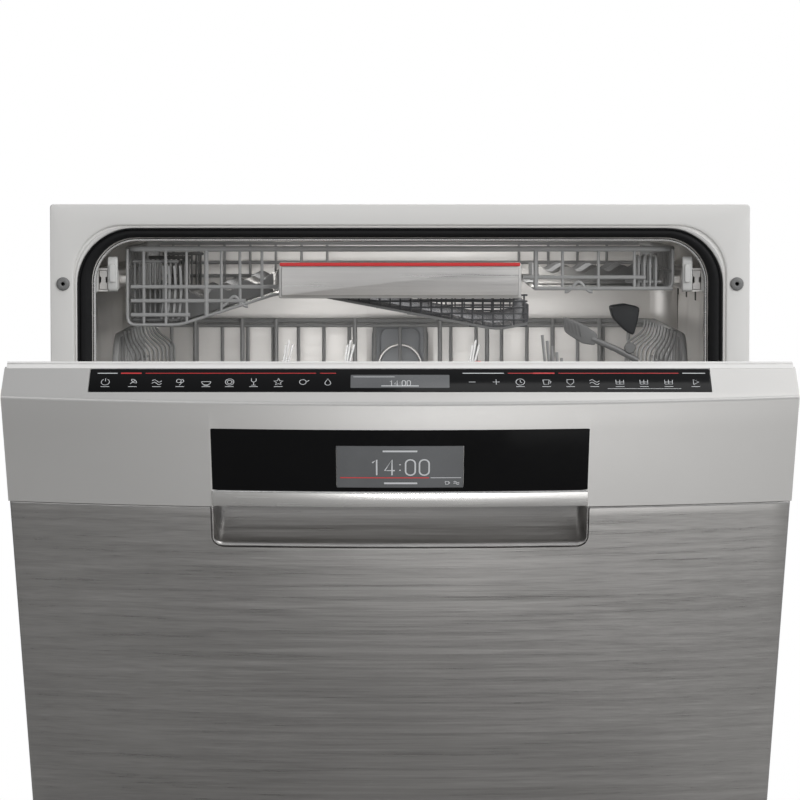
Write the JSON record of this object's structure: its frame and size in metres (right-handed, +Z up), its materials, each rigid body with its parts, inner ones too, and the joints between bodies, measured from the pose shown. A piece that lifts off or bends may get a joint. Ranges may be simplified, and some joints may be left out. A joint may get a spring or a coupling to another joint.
{
  "type": "built-in dishwasher",
  "caption": "Built-in dishwasher 60 cm wide, door ajar, with a bowed steel front, a glass key strip, a display, a cutlery drawer and two racks on rails.",
  "frame": {"origin": "middle of the machine's footprint on the floor, with the door in its modelled ajar pose", "axes": "+X to the right seen from the front, +Y to the back, +Z up"},
  "size_m": [0.598, 0.9394, 0.815],
  "materials": {
    "stainless": "smooth stainless steel",
    "brushed": "horizontal brushed stainless steel",
    "console_silver": "satin silver lacquer",
    "frame_grey": "satin light grey",
    "black_glass": "polished black glass",
    "lcd": "lit grey display",
    "bright_trim": "bright brushed trim",
    "seal_rubber": "matt black rubber",
    "zinc_sheet": "galvanised sheet",
    "dark_plastic": "fine matt texture",
    "grey_plastic": "matt moulded",
    "mesh_plastic": "matt perforated",
    "pale_plastic": "satin moulded",
    "rack_wire": "nylon coated wire"
  },
  "bodies": {
    "cabinet": {"front_frame": "frame_grey", "door_seal": "seal_rubber", "side_panel_left": "zinc_sheet", "side_panel_right": "zinc_sheet", "fixing_plug_left": "grey_plastic", "fixing_plug_right": "grey_plastic", "rear_panel": "zinc_sheet", "base_tray": "dark_plastic", "kick_plate": "dark_plastic", "foot_front_left": "dark_plastic", "foot_front_right": "dark_plastic", "foot_rear": "dark_plastic", "circulation_pump": "dark_plastic", "water_softener": "pale_plastic", "water_inlet": "pale_plastic", "tub_shell": "stainless", "tub_floor": "stainless", "sump": "dark_plastic", "spray_duct": "grey_plastic", "hinge_bracket_left": "zinc_sheet", "hinge_bracket_right": "zinc_sheet", "balance_spring_left": "zinc_sheet", "balance_spring_right": "zinc_sheet", "upper_rail_left": "stainless", "upper_rail_right": "stainless", "middle_rail_left": "stainless", "middle_rail_right": "stainless"},
    "door": {"console": "console_silver", "control_glass": "black_glass", "display_glass": "black_glass", "screen": "lcd", "trim_strip": "bright_trim", "door_panel": "brushed", "grip_cup": "brushed", "door_liner": "stainless", "dispenser": "grey_plastic"},
    "latch": {"door_latch": "pale_plastic"},
    "dispenser_lid": {"dispenser_lid": "pale_plastic"},
    "rinse_cap": {"rinse_cap": "pale_plastic"},
    "filter": {"filter_cartridge": "grey_plastic"},
    "salt_cap": {"salt_cap": "pale_plastic"},
    "upper_sliders": {"upper_slider_left": "stainless", "upper_slider_right": "stainless"},
    "drawer": {"drawer_frame": "rack_wire", "mesh_tray": "mesh_plastic", "drawer_handle": "brushed"},
    "middle_sliders": {"middle_slider_left": "stainless", "middle_slider_right": "stainless"},
    "middle_basket": {"middle_basket": "rack_wire"},
    "cup_shelf_left": {"cup_shelf_left": "rack_wire"},
    "cup_shelf_right": {"cup_shelf_right": "rack_wire"},
    "middle_tines": {"middle_tines": "rack_wire"},
    "middle_spray_arm": {"middle_spray_arm": "grey_plastic"},
    "lower_spray_arm": {"lower_spray_arm": "grey_plastic"},
    "lower_basket": {"lower_basket": "rack_wire"},
    "lower_tines": {"lower_tines": "rack_wire"},
    "wheel_front_left": {"wheel_front_left": "grey_plastic"},
    "wheel_front_right": {"wheel_front_right": "grey_plastic"},
    "wheel_rear_left": {"wheel_rear_left": "grey_plastic"},
    "wheel_rear_right": {"wheel_rear_right": "grey_plastic"}
  },
  "joints": [
    {"name": "door_hinge", "type": "hinge", "parent": "cabinet", "child": "door", "pos_m": [0, -0.04331, 0.108], "axis": [1, 0, 0], "range_deg": [-32.7, 57.3]},
    {"name": "latch_slide", "type": "slide", "parent": "door", "child": "latch", "axis": [0, -0.8415, -0.5402], "range_m": [0, 0.007], "stiffness_N_per_m": 400},
    {"name": "lid_hinge", "type": "hinge", "parent": "door", "child": "dispenser_lid", "pos_m": [0, -0.3043, 0.53581], "axis": [1, 0, 0], "range_deg": [0, 100]},
    {"name": "rinse_cap_turn", "type": "hinge", "parent": "door", "child": "rinse_cap", "pos_m": [0.063, -0.27902, 0.49737], "axis": [0, 0.8415, 0.5402], "range_deg": [0, 90]},
    {"name": "filter_turn", "type": "hinge", "parent": "cabinet", "child": "filter", "pos_m": [0.092, 0.15269, 0.1], "axis": [0, 0, 1], "range_deg": [0, 90]},
    {"name": "salt_cap_turn", "type": "hinge", "parent": "cabinet", "child": "salt_cap", "pos_m": [-0.19, 0.09669, 0.14], "axis": [0, 0, 1], "range_deg": [0, 350]},
    {"name": "upper_slider_slide", "type": "slide", "parent": "cabinet", "child": "upper_sliders", "axis": [0, -1, 0], "range_m": [0, 0.2]},
    {"name": "drawer_slide", "type": "slide", "parent": "upper_sliders", "child": "drawer", "axis": [0, -1, 0], "range_m": [0, 0.2]},
    {"name": "middle_slider_slide", "type": "slide", "parent": "cabinet", "child": "middle_sliders", "axis": [0, -1, 0], "range_m": [0, 0.2]},
    {"name": "middle_basket_slide", "type": "slide", "parent": "middle_sliders", "child": "middle_basket", "axis": [0, -1, 0], "range_m": [0, 0.2]},
    {"name": "cup_shelf_left_fold", "type": "hinge", "parent": "middle_basket", "child": "cup_shelf_left", "pos_m": [-0.242, 0.20169, 0.608], "axis": [0, 1, 0], "range_deg": [0, 85]},
    {"name": "cup_shelf_right_fold", "type": "hinge", "parent": "middle_basket", "child": "cup_shelf_right", "pos_m": [0.242, 0.20169, 0.608], "axis": [0, -1, 0], "range_deg": [0, 85]},
    {"name": "middle_tines_fold", "type": "hinge", "parent": "middle_basket", "child": "middle_tines", "pos_m": [-0.06, 0.20169, 0.4623], "axis": [0, 1, 0], "range_deg": [0, 80]},
    {"name": "middle_arm_spin", "type": "hinge", "parent": "middle_basket", "child": "middle_spray_arm", "pos_m": [0, 0.20369, 0.436], "axis": [0, 0, 1], "continuous": true},
    {"name": "lower_arm_spin", "type": "hinge", "parent": "cabinet", "child": "lower_spray_arm", "pos_m": [0, 0.20369, 0.15], "axis": [0, 0, 1], "continuous": true},
    {"name": "lower_basket_slide", "type": "slide", "parent": "cabinet", "child": "lower_basket", "axis": [0, -1, 0], "range_m": [0, 0.045]},
    {"name": "lower_tines_fold", "type": "hinge", "parent": "lower_basket", "child": "lower_tines", "pos_m": [0.11, 0.21169, 0.1773], "axis": [0, 1, 0], "range_deg": [0, 80]},
    {"name": "wheel_front_left_roll", "type": "hinge", "parent": "lower_basket", "child": "wheel_front_left", "pos_m": [-0.25, 0.06669, 0.15], "axis": [1, 0, 0], "range_deg": [-5, 185]},
    {"name": "wheel_front_right_roll", "type": "hinge", "parent": "lower_basket", "child": "wheel_front_right", "pos_m": [0.25, 0.06669, 0.15], "axis": [1, 0, 0], "range_deg": [-5, 185]},
    {"name": "wheel_rear_left_roll", "type": "hinge", "parent": "lower_basket", "child": "wheel_rear_left", "pos_m": [-0.25, 0.35669, 0.15], "axis": [1, 0, 0], "range_deg": [-5, 185]},
    {"name": "wheel_rear_right_roll", "type": "hinge", "parent": "lower_basket", "child": "wheel_rear_right", "pos_m": [0.25, 0.35669, 0.15], "axis": [1, 0, 0], "range_deg": [-5, 185]}
  ],
  "couplings": [
    {"joint": "wheel_front_left_roll", "follows": "lower_basket_slide", "rad_per_m": 66.667},
    {"joint": "wheel_front_right_roll", "follows": "lower_basket_slide", "rad_per_m": 66.667},
    {"joint": "wheel_rear_left_roll", "follows": "lower_basket_slide", "rad_per_m": 66.667},
    {"joint": "wheel_rear_right_roll", "follows": "lower_basket_slide", "rad_per_m": 66.667}
  ]
}
